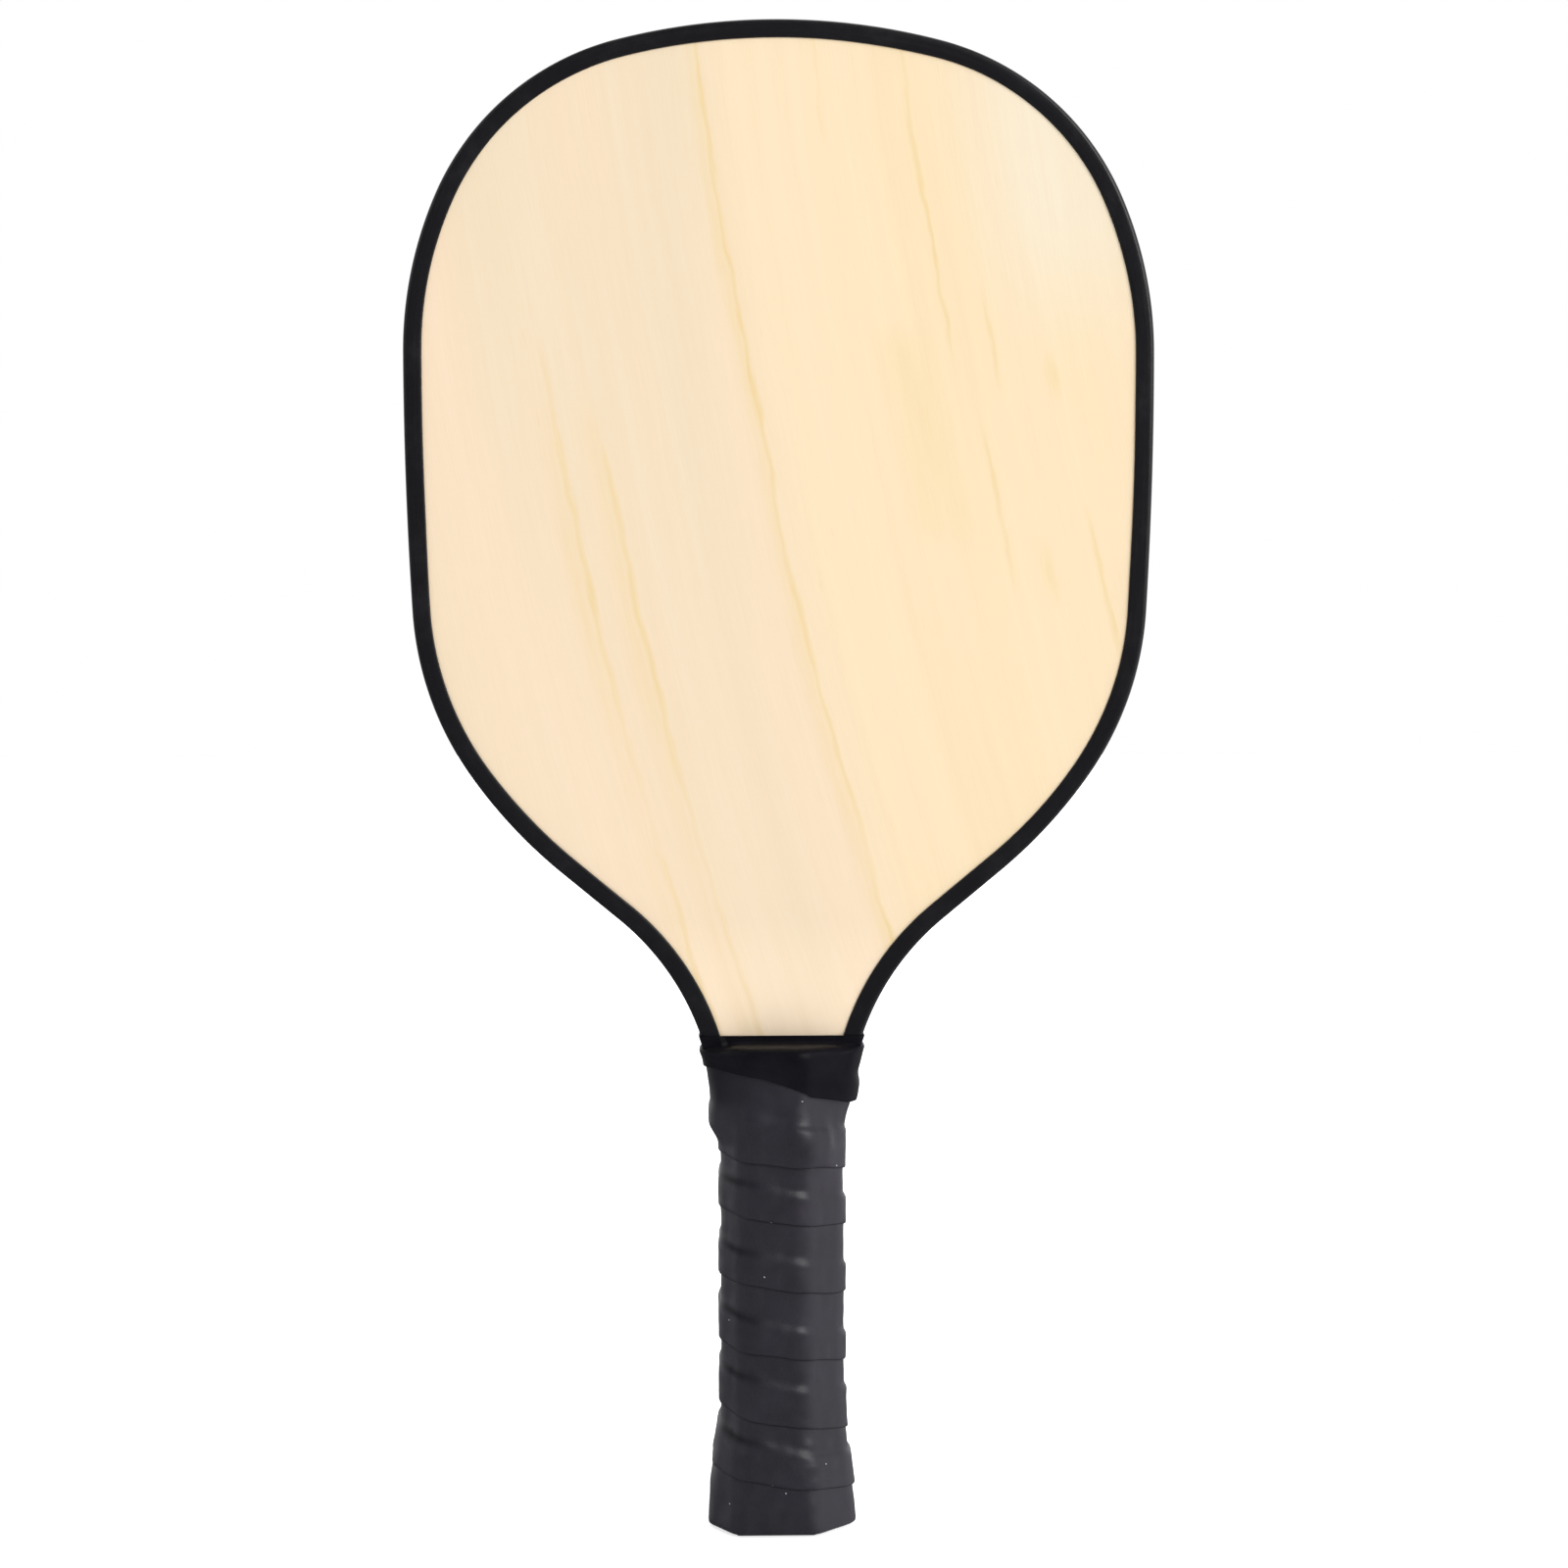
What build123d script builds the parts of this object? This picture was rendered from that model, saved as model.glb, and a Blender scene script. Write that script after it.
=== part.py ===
from build123d import *
import math
import os

# A wooden pickleball paddle that stands on its butt end.
# Millimetres. +Z runs from the butt to the head, -Y is the front face and +X is on its right.
# The origin is the centre of the flat butt end.

# ---------------------------------------------------------------- head outline
TOTAL_LENGTH = 396.0

# The outer edge of the edge guard, from the top centre down the right side, is a chain of
# tangent arcs. Each is (radius, turn in degrees): crown, shoulder, corner, side, flank, hip.
HEAD_ARCS = [
    (172.0, 14.3),
    (71.0, 52.0),
    (103.0, 23.7),
    (1140.0, 3.4),
    (84.0, 31.7),
    (129.5, 15.4),
]
THROAT_RUN = 19.7  # straight stretch between the hip and the neck
NECK_RADIUS = 68.7  # hollow curve that brings the edge back to vertical at the handle

# ---------------------------------------------------------------- plywood blade
BLADE_THICKNESS = 9.5
FACE_VENEER = 0.7
INNER_PLY_COUNT = 5
INNER_PLY = (BLADE_THICKNESS - 2 * FACE_VENEER) / INNER_PLY_COUNT

# ---------------------------------------------------------------- edge guard
GUARD_WALL = 1.0  # web that covers the plywood's edge
GUARD_LIP = 0.8  # thickness of each lip on the faces
GUARD_BAND = 4.9  # width of the band that each lip shows
GUARD_CORNER = 1.2
LIP_FOOT = 127.0  # the lips are snipped off where the handle begins
LEFT_TAIL_END = 106.0  # the bare web runs on under the grip and is cut by hand
RIGHT_TAIL_END = 111.5
TAIL_SPARE = 5.0  # length of tail that is cut away from the channel's blank

# ---------------------------------------------------------------- handle core
CORE_WIDTH = 30.5
CORE_DEPTH = 29.0
FACET_LEFT = 9.2  # the front and back facets are planed off centre and reach this far left
FACET_RIGHT = 5.2
SIDE_FACET = 11.2
HANDLE_TOP = 126.6
TOP_ROUND = 2.0  # rounding of the scales' top edges
SHOULDER_TOP = 112.0  # the blade narrows to its tang between these heights
SHOULDER_FOOT = 105.5

# ---------------------------------------------------------------- butt cap
CAP_HEIGHT = 34.0
CAP_FLOOR = 2.0
CAP_WALL = 1.25
CAP_RIM_RADIUS = 1.5
FLARE_RADIUS = 90.0
FLARE_ANGLE = 6.3
FLARE_STATIONS = (10.0, 6.0, 3.0)  # drops below the cap's top at which its curve is sectioned

# ---------------------------------------------------------------- staples
STAPLE_CROWN = 9.0
STAPLE_LEG = 7.0
WIRE_WIDTH = 1.2
WIRE_THICKNESS = 0.6
STAPLE_SINK = 0.15
STAPLE_HEIGHTS = (13.0, 25.0)

# ---------------------------------------------------------------- tapes
GRIP_BUILD = 1.0  # mean thickness of the overlapping grip tape
GRIP_FOOT = 1.5
GRIP_TOP = 126.3
GRIP_SWELL_FOOT = 100.5  # from here up the grip widens over the guard's tails
TAIL_CLEARANCE = 0.05
FINISH_THICKNESS = 0.25
FINISH_GAP = 0.02
FINISH_TOP = 129.3
FINISH_STEP = 126.7  # underside of the tape where it turns in over the handle's top
FINISH_LEFT_FOOT = 121.0
FINISH_RIGHT_FOOT = 111.5

NECK_STATIONS = 4  # steps in which the tapes follow the neck's curve
BIG = 300.0  # larger than the paddle, for cutting blocks


def heading(degrees):
    """Unit vector in the face plane, at an angle above +X."""
    return Vector(math.cos(math.radians(degrees)), math.sin(math.radians(degrees)))


def head_edge(inset):
    """Right-hand edge of the head, as curves, at a distance inside the guard's outer edge."""
    angle = 0.0
    start = Vector(0, TOTAL_LENGTH - inset)
    curves = []
    for radius, turn in HEAD_ARCS:
        curves.append(JernArc(start, heading(angle), radius - inset, -turn))
        start = curves[-1] @ 1
        angle -= turn
    curves.append(Line(start, start + heading(angle) * THROAT_RUN))
    curves.append(JernArc(curves[-1] @ 1, heading(angle), NECK_RADIUS + inset, -90 - angle))
    return curves


def paddle_face(inset, foot_points):
    """Closed face of the paddle, whose edge goes on through foot_points below the neck."""
    curves = head_edge(inset)
    neck_end = curves[-1] @ 1
    foot = Polyline(neck_end, *foot_points, (0, foot_points[-1][1]))
    right = Curve() + curves + foot
    return make_face(Plane.XZ * (right + mirror(right, Plane.YZ)))


def neck_point():
    """Lowest point of the guard's outer edge, as (half width, height)."""
    end = head_edge(0)[-1] @ 1
    return end.X, end.Y


def guard_half_width(height):
    """Half of the guard's outer width at a height within the neck curve."""
    neck_x, neck_z = neck_point()
    rise = height - neck_z
    return neck_x + NECK_RADIUS - math.sqrt(NECK_RADIUS**2 - rise**2)


def slab(face, thickness):
    """Plate of a face in the XZ plane, centred on the blade's middle plane."""
    return extrude(face, thickness / 2, both=True)


def blade_face():
    """Outline of the plywood, with its tang down to the butt cap's floor."""
    neck_x = neck_point()[0] - GUARD_WALL
    core_x = CORE_WIDTH / 2
    socket_x = core_x - CAP_WALL
    points = [
        (neck_x, SHOULDER_FOOT),
        (core_x, SHOULDER_FOOT),
        (core_x, CAP_HEIGHT),
        (socket_x, CAP_HEIGHT),
        (socket_x, CAP_FLOOR),
    ]
    edge_x = guard_half_width(SHOULDER_TOP) - GUARD_WALL
    corners = [(edge_x, SHOULDER_TOP), (core_x, SHOULDER_FOOT), (BIG, SHOULDER_FOOT), (BIG, SHOULDER_TOP)]
    shoulder = make_face(Plane.XZ * Polyline(*corners, close=True))
    return paddle_face(GUARD_WALL, points) - shoulder - mirror(shoulder, Plane.YZ)


def ply(face, front, thickness):
    """One sheet of the plywood, whose front surface is at y = front."""
    return Pos(0, front, 0) * extrude(face, thickness, dir=(0, 1, 0))


def handle_octagon(half_width, height, growth=0.0, offset_by=0.0):
    """Octagonal section of the handle, grown on every side and then offset outwards."""
    left = FACET_LEFT + growth
    right = FACET_RIGHT + growth
    side = SIDE_FACET / 2 + growth
    depth = CORE_DEPTH / 2 + growth
    width = half_width + growth
    points = [(right, depth), (width, side), (width, -side), (right, -depth)]
    points += [(-left, -depth), (-width, -side), (-width, side), (-left, depth)]
    section = make_face(Polyline(*points, close=True))
    if offset_by:
        section = offset(section, amount=offset_by, kind=Kind.INTERSECTION)
    return Pos(0, 0, height) * section


def flare(height):
    """How far the butt cap stands out from the handle at a height."""
    drop = CAP_HEIGHT - height
    angle = math.radians(FLARE_ANGLE)
    arc_drop = FLARE_RADIUS * math.sin(angle)
    if drop <= 0:
        return 0.0
    if drop < arc_drop:
        return FLARE_RADIUS - math.sqrt(FLARE_RADIUS**2 - drop**2)
    return FLARE_RADIUS * (1 - math.cos(angle)) + (drop - arc_drop) * math.tan(angle)


def flare_heights(foot):
    """Heights at which the flared stretch is sectioned, from the foot up."""
    return [foot] + [CAP_HEIGHT - drop for drop in FLARE_STATIONS] + [CAP_HEIGHT]


def handle_block(top, foot, offset_by=0.0):
    """Plain octagonal block between two heights."""
    section = handle_octagon(CORE_WIDTH / 2, foot, offset_by=offset_by)
    return extrude(section, top - foot, dir=(0, 0, 1))


def butt_cap_blank(foot, offset_by=0.0):
    """Flared octagonal solid of the butt cap."""
    sections = [
        handle_octagon(CORE_WIDTH / 2, height, flare(height), offset_by)
        for height in flare_heights(foot)
    ]
    return loft(sections, ruled=True)


def staple(side, height):
    """Wire staple through the cap into a handle scale; side is -1 for the front."""
    outer = CORE_DEPTH / 2 + flare(height) - STAPLE_SINK
    crown = Box(STAPLE_CROWN, WIRE_THICKNESS, WIRE_WIDTH)
    crown = Pos(0, side * (outer - WIRE_THICKNESS / 2), height) * crown
    for leg_side in (-1, 1):
        leg = Box(WIRE_THICKNESS, STAPLE_LEG, WIRE_WIDTH)
        leg_x = leg_side * (STAPLE_CROWN - WIRE_THICKNESS) / 2
        crown += Pos(leg_x, side * (outer - STAPLE_LEG / 2), height) * leg
    return crown


def make_staples():
    return [staple(side, height) for side in (-1, 1) for height in STAPLE_HEIGHTS]


def make_handle_scale(side):
    """Octagonal half of the handle on one face of the tang; side is -1 for the front."""
    body = handle_block(HANDLE_TOP, CAP_HEIGHT)
    body = fillet(body.faces().sort_by(Axis.Z)[-1].edges(), TOP_ROUND)
    body += handle_block(CAP_HEIGHT, CAP_FLOOR, offset_by=-CAP_WALL)
    keep = Pos(0, side * (BLADE_THICKNESS + BIG) / 2, 0) * Box(BIG, BIG, BIG)
    body = body & keep
    for pin in make_staples():
        body -= pin
    return body


def make_butt_cap():
    """Flared cup that takes the end of the handle, with a rounded rim."""
    body = butt_cap_blank(0)
    body = fillet(body.faces().sort_by(Axis.Z)[0].edges(), CAP_RIM_RADIUS)
    body -= handle_block(CAP_HEIGHT, CAP_FLOOR, offset_by=-CAP_WALL)
    for pin in make_staples():
        body -= pin
    return body


def make_edge_guard():
    """Channel round the head, with bare tails of its web beside the handle."""
    neck_x = neck_point()[0]
    thickness = BLADE_THICKNESS + 2 * GUARD_LIP
    tail_foot = LEFT_TAIL_END - TAIL_SPARE
    outer = slab(paddle_face(0, [(neck_x, tail_foot)]), thickness)
    rim = outer.edges().filter_by(lambda edge: abs(edge.center().Y) > BLADE_THICKNESS / 2)
    rim = rim.filter_by(lambda edge: edge.center().Z > tail_foot + 1)
    body = fillet(rim, GUARD_CORNER)
    body -= slab(paddle_face(GUARD_WALL, [(neck_x - GUARD_WALL, tail_foot)]), BLADE_THICKNESS)
    body -= slab(paddle_face(GUARD_BAND, [(neck_x - GUARD_BAND, tail_foot)]), BIG)
    handle_zone = slab(paddle_face(GUARD_WALL, [(neck_x - GUARD_WALL, 0)]), BIG)
    body -= handle_zone & Pos(0, 0, LIP_FOOT - BIG / 2) * Box(BIG, BIG, BIG)
    body -= Pos(-BIG / 2, 0, LEFT_TAIL_END - BIG / 2) * Box(BIG, BIG, BIG)
    body -= Pos(BIG / 2, 0, RIGHT_TAIL_END - BIG / 2) * Box(BIG, BIG, BIG)
    return body


def throat_levels(top):
    """Half width of the handle and the guard's tails together, as (height, half width)."""
    neck_x, neck_z = neck_point()
    levels = [(GRIP_SWELL_FOOT, CORE_WIDTH / 2), (LEFT_TAIL_END, neck_x + TAIL_CLEARANCE)]
    for step in range(1, NECK_STATIONS + 1):
        height = neck_z + (top - neck_z) * step / NECK_STATIONS
        levels.append((height, guard_half_width(height) + TAIL_CLEARANCE))
    return levels


def grip_blank(foot, top, offset_by):
    """Solid inside the grip tape, or inside a layer wound over it, between two heights."""
    sections = [
        handle_octagon(CORE_WIDTH / 2, height, flare(height), offset_by)
        for height in flare_heights(foot)
    ]
    for height, half_width in throat_levels(top):
        sections.append(handle_octagon(half_width, height, offset_by=offset_by))
    return loft(sections, ruled=True)


def make_grip_tape():
    return grip_blank(GRIP_FOOT, GRIP_TOP, GRIP_BUILD) - grip_blank(GRIP_FOOT, GRIP_TOP, 0.0)


def finish_collar(clearance, top):
    """Band round the blade and its guard, from the handle's top to a height."""
    neck_x = neck_point()[0] + clearance
    face = paddle_face(-clearance, [(neck_x, LEFT_TAIL_END)])
    band = slab(face, BLADE_THICKNESS + 2 * (GUARD_LIP + clearance))
    bottom = FINISH_STEP - FINISH_THICKNESS
    keep = Pos(0, 0, (top + bottom) / 2) * Box(BIG, BIG, top - bottom)
    return band & keep


def make_finishing_tape():
    """Vinyl tape over the top of the grip, turned in over the step onto the blade."""
    inner_offset = GRIP_BUILD + FINISH_GAP
    outer_offset = inner_offset + FINISH_THICKNESS
    outer = grip_blank(GRIP_FOOT, FINISH_STEP + FINISH_THICKNESS, outer_offset)
    outer += finish_collar(TAIL_CLEARANCE + FINISH_THICKNESS, FINISH_TOP)
    inner = grip_blank(GRIP_FOOT, FINISH_STEP, inner_offset)
    inner += finish_collar(TAIL_CLEARANCE, FINISH_TOP)
    slope = math.degrees(math.atan((FINISH_LEFT_FOOT - FINISH_RIGHT_FOOT) / CORE_WIDTH))
    middle = (FINISH_LEFT_FOOT + FINISH_RIGHT_FOOT) / 2
    below = Pos(0, 0, middle) * Rot(0, slope, 0) * Pos(0, 0, -BIG / 2) * Box(BIG, BIG, BIG)
    return outer - inner - below


def build():
    parts = {}
    face = blade_face()
    front = -BLADE_THICKNESS / 2
    parts["front_face_veneer"] = ply(face, front, FACE_VENEER)
    front += FACE_VENEER
    inner_plies = ["front_cross_ply", "front_long_ply", "core_ply", "back_long_ply", "back_cross_ply"]
    for name in inner_plies:
        parts[name] = ply(face, front, INNER_PLY)
        front += INNER_PLY
    parts["back_face_veneer"] = ply(face, front, FACE_VENEER)
    parts["front_handle_scale"] = make_handle_scale(-1)
    parts["back_handle_scale"] = make_handle_scale(1)
    parts["edge_guard"] = make_edge_guard()
    parts["butt_cap"] = make_butt_cap()
    parts["butt_cap_staples"] = Compound(children=make_staples())
    parts["grip_tape"] = make_grip_tape()
    parts["finishing_tape"] = make_finishing_tape()
    return parts


os.makedirs("parts", exist_ok=True)
for name, shape in build().items():
    export_step(shape, f"parts/{name}.step")
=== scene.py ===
import math

import bpy
import numpy as np
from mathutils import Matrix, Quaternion, Vector


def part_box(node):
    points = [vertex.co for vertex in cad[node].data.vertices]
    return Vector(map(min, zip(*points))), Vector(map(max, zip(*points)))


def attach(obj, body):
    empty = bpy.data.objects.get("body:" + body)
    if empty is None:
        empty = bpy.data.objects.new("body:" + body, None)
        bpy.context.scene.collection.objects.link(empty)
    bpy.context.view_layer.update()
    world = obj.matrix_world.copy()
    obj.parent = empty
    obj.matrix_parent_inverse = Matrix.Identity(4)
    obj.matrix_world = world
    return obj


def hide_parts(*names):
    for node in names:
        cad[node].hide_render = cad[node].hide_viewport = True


# A wooden pickleball paddle, looks only: its main places and sizes come from the CAD frame.
# Metres, +Z from the butt to the head, -Y out of the front face.

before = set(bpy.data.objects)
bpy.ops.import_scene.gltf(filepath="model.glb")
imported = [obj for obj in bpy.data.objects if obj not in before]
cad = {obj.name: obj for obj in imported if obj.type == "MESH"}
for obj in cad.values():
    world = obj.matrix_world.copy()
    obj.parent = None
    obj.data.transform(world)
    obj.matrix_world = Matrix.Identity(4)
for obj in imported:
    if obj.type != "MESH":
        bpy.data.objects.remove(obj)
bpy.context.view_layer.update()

MM = 0.001

# ---------------------------------------------------------------- outline of the head
# Tangent arcs of the edge guard's outer edge, from the top centre down the right side,
# each as (radius, turn in degrees), then a straight run and the hollow neck curve.
HEAD_ARCS = [
    (172 * MM, 14.3),
    (71 * MM, 52.0),
    (103 * MM, 23.7),
    (1140 * MM, 3.4),
    (84 * MM, 31.7),
    (129.5 * MM, 15.4),
]
THROAT_RUN = 19.7 * MM
NECK_RADIUS = 68.7 * MM
STATION_STEP = 1.2 * MM
LEAST_ARC_STEPS = 6

# ---------------------------------------------------------------- places from the frame
GUARD_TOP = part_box("edge_guard")[1].z
GUARD_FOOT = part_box("edge_guard")[0].z
GUARD_HALF_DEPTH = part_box("edge_guard")[1].y
PLY_HALF_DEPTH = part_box("back_face_veneer")[1].y
HANDLE_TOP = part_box("front_handle_scale")[1].z
CORE_HALF_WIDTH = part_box("front_handle_scale")[1].x
CORE_HALF_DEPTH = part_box("back_handle_scale")[1].y
CAP_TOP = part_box("butt_cap")[1].z
GRIP_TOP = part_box("grip_tape")[1].z
FINISH_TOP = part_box("finishing_tape")[1].z
FINISH_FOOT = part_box("finishing_tape")[0].z

# ---------------------------------------------------------------- edge guard
GUARD_WALL = 1.0 * MM
GUARD_BAND = 4.9 * MM
GUARD_CORNER = 1.2 * MM
LIP_SAG = 0.18 * MM  # the lips slope down a little towards the veneer
LIP_EDGE = 0.35 * MM
LIP_FOOT = HANDLE_TOP + 0.4 * MM  # the lips are snipped off here, and bare tails of the web go on
RIGHT_TAIL_FOOT = 111.5 * MM
WEB_HOLLOW = 0.06 * MM
VENEER_GAP = 0.01 * MM
TAIL_EDGE = 0.4 * MM
WEB_STEPS = 4
CORNER_STEPS = 8
LIP_STEPS = 6
EDGE_STEPS = 5
BAND_WANDER = 0.05 * MM  # the lips' width varies slowly along the channel
LIP_LIFT = 0.05 * MM  # and so does their height
GUARD_UV_STEP = 0.3 * MM  # how far apart its texture takes the section's points to be

# ---------------------------------------------------------------- handle under the tape
FACET_LEFT = 9.2 * MM  # the front and back facets are planed off centre and reach this far left
FACET_RIGHT = 5.2 * MM
SIDE_FACET_HALF = 5.6 * MM
FLARE_RADIUS = 90 * MM
FLARE_ANGLE = math.radians(6.3)
RIM_RADIUS = 1.7 * MM
EDGE_ROUND = 7.0 * MM  # the tape bridges the octagon's edges
BUTT_ROUND = 4.2 * MM  # and follows them more closely over the cap's rim
BUTT_STRETCH = 16 * MM  # height over which the rounding changes
LEFT_SWELL = 5.5 * MM  # the tape slopes in over this height below the guard's left tail
RIGHT_SWELL = 12.5 * MM  # and more gently on the right, from a little above the tail's foot
RIGHT_SWELL_TOP = 115 * MM
SWELL_OVERRUN = 0.5 * MM

# ---------------------------------------------------------------- grip tape
TAPE_WIDTH = 25 * MM
TAPE_THICKNESS = 0.7 * MM
TAPE_FOOT = 0.7 * MM
TAPE_TOP = GRIP_TOP - 1.8 * MM  # under the finishing tape, below the rounded end of the wood
TAPE_BEDDING = 0.34 * MM  # the cushioned backing lifts it off the wood
LAYER_GAP = 0.04 * MM
EDGE_WANDER = 0.18 * MM  # how far the lower edge wanders as it was wound by hand
EDGE_TUCK = 0.15 * MM  # the pressed lower edge lies this much deeper
EDGE_PLACES = (0.0, 0.12 * MM, 0.3 * MM)  # fine columns of points above that edge
PUCKER = 0.05 * MM
UNEVENNESS = 0.07 * MM
TAPE_RAMP = 1.7 * MM  # height over which a turn settles off the turn below it
RAMP_LEAD = 0.15  # share of that height that lies below the lower turn's edge
LONG_RAMP = 5.0 * MM  # and where it is pulled over the left front edge
LONG_RAMP_AT = 0.87  # share of a turn, with half the stretch that it takes
LONG_RAMP_REACH = 0.22
GROOVE_AT = 0.885  # there it also sinks in just above the turn below
GROOVE_REACH = 0.11
GROOVE_DEPTH = 0.22 * MM
GROOVE_RISE = 1.4 * MM
GROOVE_WIDTH = 1.1 * MM
GROOVE_END = 6.4  # from here on it fades, so that the last turn is nearly smooth
GROOVE_FADE = 0.3
GROOVE_LOSS = 0.7
SHADE_AT = 0.95  # painted shade: the top turn is darkened on the left, under the finishing tape
SHADE_REACH = 0.22
SHADE_FOOT = 106 * MM
SHADE_RISE = 9 * MM
SHADE = 0.75
TURN_LENGTH = 105 * MM
STATIONS_PER_TURN = 160
TAPE_COLUMNS = 36
FIRST_TURN = 0.21  # it starts on the back
START_FADE = 0.03
LAST_TURN = 7.5
SEAM_SMOOTHING = (-0.05, -0.025, 0.0, 0.025, 0.05)
# Heights in millimetres of the strip's lower edge each time it passes the right side, then the
# left side, going down from the top turn.
SEAM_HEIGHTS = [112.8, 99.4, 93.7, 84.9, 78.5, 67.3, 60.7, 49.8]
SEAM_HEIGHTS += [42.8, 33.0, 24.2, 16.8, 9.5, 0.6, -7.5, -16.5]


def collection_add(obj):
    bpy.context.scene.collection.objects.link(obj)
    return obj


def make_mesh(name, vertices, faces, smooth_angle=40):
    mesh = bpy.data.meshes.new(name)
    mesh.from_pydata([tuple(v) for v in vertices], [], faces)
    mesh.validate()
    obj = collection_add(bpy.data.objects.new(name, mesh))
    mesh.shade_smooth()
    mesh.set_sharp_from_angle(angle=math.radians(smooth_angle))
    return obj


def grid_faces(rows, columns, close_columns):
    """Quads of a rows x columns grid of points, closed round the columns if asked."""
    faces = []
    last = columns if close_columns else columns - 1
    for i in range(rows - 1):
        for j in range(last):
            k = (j + 1) % columns
            faces.append((i * columns + j, i * columns + k, (i + 1) * columns + k, (i + 1) * columns + j))
    return faces


def add_section_uv(obj, columns, along, across):
    """UV in metres from the steps along a strip of stations and across its columns."""
    layer = obj.data.uv_layers.new(name="along")
    for polygon in obj.data.polygons:
        for loop in polygon.loop_indices:
            vertex = obj.data.loops[loop].vertex_index
            layer.data[loop].uv = (vertex // columns * along, vertex % columns * across)


def add_share(obj, name, shares):
    """A number from 0 to 1 at each vertex, for the material to read."""
    layer = obj.data.attributes.new(name, "FLOAT", "POINT")
    layer.data.foreach_set("value", np.array(shares, dtype=np.float32))


# ---------------------------------------------------------------- guard
def arc_stations(start, angle, radius, turn):
    """Stations along an arc and its end point; with a negative radius and turn it is hollow."""
    cx, cz = start[0] - radius * math.sin(angle), start[1] - radius * math.cos(angle)
    steps = max(LEAST_ARC_STEPS, int(radius * turn / STATION_STEP))
    stations = []
    for k in range(steps + 1):
        a = angle + turn * k / steps
        normal = (math.sin(a), math.cos(a))
        stations.append((cx + radius * normal[0], cz + radius * normal[1], *normal))
    return stations[:-1], stations[-1]


def half_outline():
    """Stations down the right half of the guard's outer edge: x, z and outward normal."""
    points = []
    here, angle = (0.0, GUARD_TOP), 0.0  # angle is that of the outward normal from +Z
    for radius, degrees in HEAD_ARCS:
        turn = math.radians(degrees)
        stations, here = arc_stations(here, angle, radius, turn)
        points += stations
        angle += turn
    normal = (math.sin(angle), math.cos(angle))
    steps = int(THROAT_RUN / STATION_STEP)
    for k in range(steps):
        run = THROAT_RUN * k / steps
        points.append((here[0] + normal[1] * run, here[1] - normal[0] * run, *normal))
    here = (here[0] + normal[1] * THROAT_RUN, here[1] - normal[0] * THROAT_RUN)
    neck_turn = math.radians(90 - sum(degrees for _, degrees in HEAD_ARCS))
    stations, end = arc_stations(here, angle, -NECK_RADIUS, neck_turn)
    return points + stations + [end]


OUTLINE = half_outline()
NECK_X, NECK_Z = OUTLINE[-1][0], OUTLINE[-1][1]


def guard_half_width(height):
    """Half of the guard's outer width at a height within the neck curve."""
    rise = max(0.0, height - NECK_Z)
    return NECK_X + NECK_RADIUS - math.sqrt(NECK_RADIUS**2 - rise**2)


def lip_section(band, lift):
    """Points in over a lip and round its inner edge, as (inset, y)."""
    points = []
    reach = band - LIP_EDGE - GUARD_CORNER
    for k in range(1, LIP_STEPS):
        f = k / LIP_STEPS
        points.append((GUARD_CORNER + reach * f, GUARD_HALF_DEPTH - (LIP_SAG - lift) * f * f))
    y = GUARD_HALF_DEPTH - LIP_SAG + lift
    for k in range(EDGE_STEPS + 1):
        a = math.pi / 2 * k / EDGE_STEPS
        points.append((band - LIP_EDGE + LIP_EDGE * math.sin(a), y - LIP_EDGE * (1 - math.cos(a))))
    points.append((band, PLY_HALF_DEPTH + VENEER_GAP))
    return points


def tail_section(start):
    """As many points down the edge of a bare tail, where there is no lip."""
    count = LIP_STEPS + EDGE_STEPS + 1
    run = (GUARD_WALL - start[0], PLY_HALF_DEPTH + TAIL_EDGE - start[1])
    shares = [(k + 1) / count for k in range(count)]
    return [(start[0] + run[0] * f, start[1] + run[1] * f) for f in shares]


def guard_section(band, lift):
    """Closed section of the channel as (inset, y), back lip first."""
    half = []  # from the middle of the web out to the inner edge, for y > 0
    for k in range(WEB_STEPS):
        inset = WEB_HOLLOW * (k / (WEB_STEPS - 1)) ** 2
        half.append((inset, (GUARD_HALF_DEPTH - GUARD_CORNER) * k / WEB_STEPS))
    for k in range(CORNER_STEPS + 1):
        a = math.pi / 2 * k / CORNER_STEPS
        y = GUARD_HALF_DEPTH - GUARD_CORNER + GUARD_CORNER * math.sin(a)
        half.append((GUARD_CORNER * (1 - math.cos(a)), y))
    if band > GUARD_WALL:
        half += lip_section(band, lift)
        half.append((GUARD_WALL, PLY_HALF_DEPTH + VENEER_GAP))
    else:
        half += tail_section(half[-1])
        half.append((GUARD_WALL, PLY_HALF_DEPTH))
    lower = [(inset, -y) for inset, y in half[1:]]
    return half[::-1] + lower


def guard_stations():
    """Stations from the foot of the left tail up over the head to the foot of the right one."""
    steps = int((NECK_Z - GUARD_FOOT) / STATION_STEP) + 1
    left = [(-x, z, -nx, nz) for x, z, nx, nz in OUTLINE[1:]]
    for k in range(1, steps + 1):
        left.append((-NECK_X, NECK_Z - (NECK_Z - GUARD_FOOT) * k / steps, -1.0, 0.0))
    right = [station for station in OUTLINE if station[1] >= RIGHT_TAIL_FOOT]
    return left[::-1] + right


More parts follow.
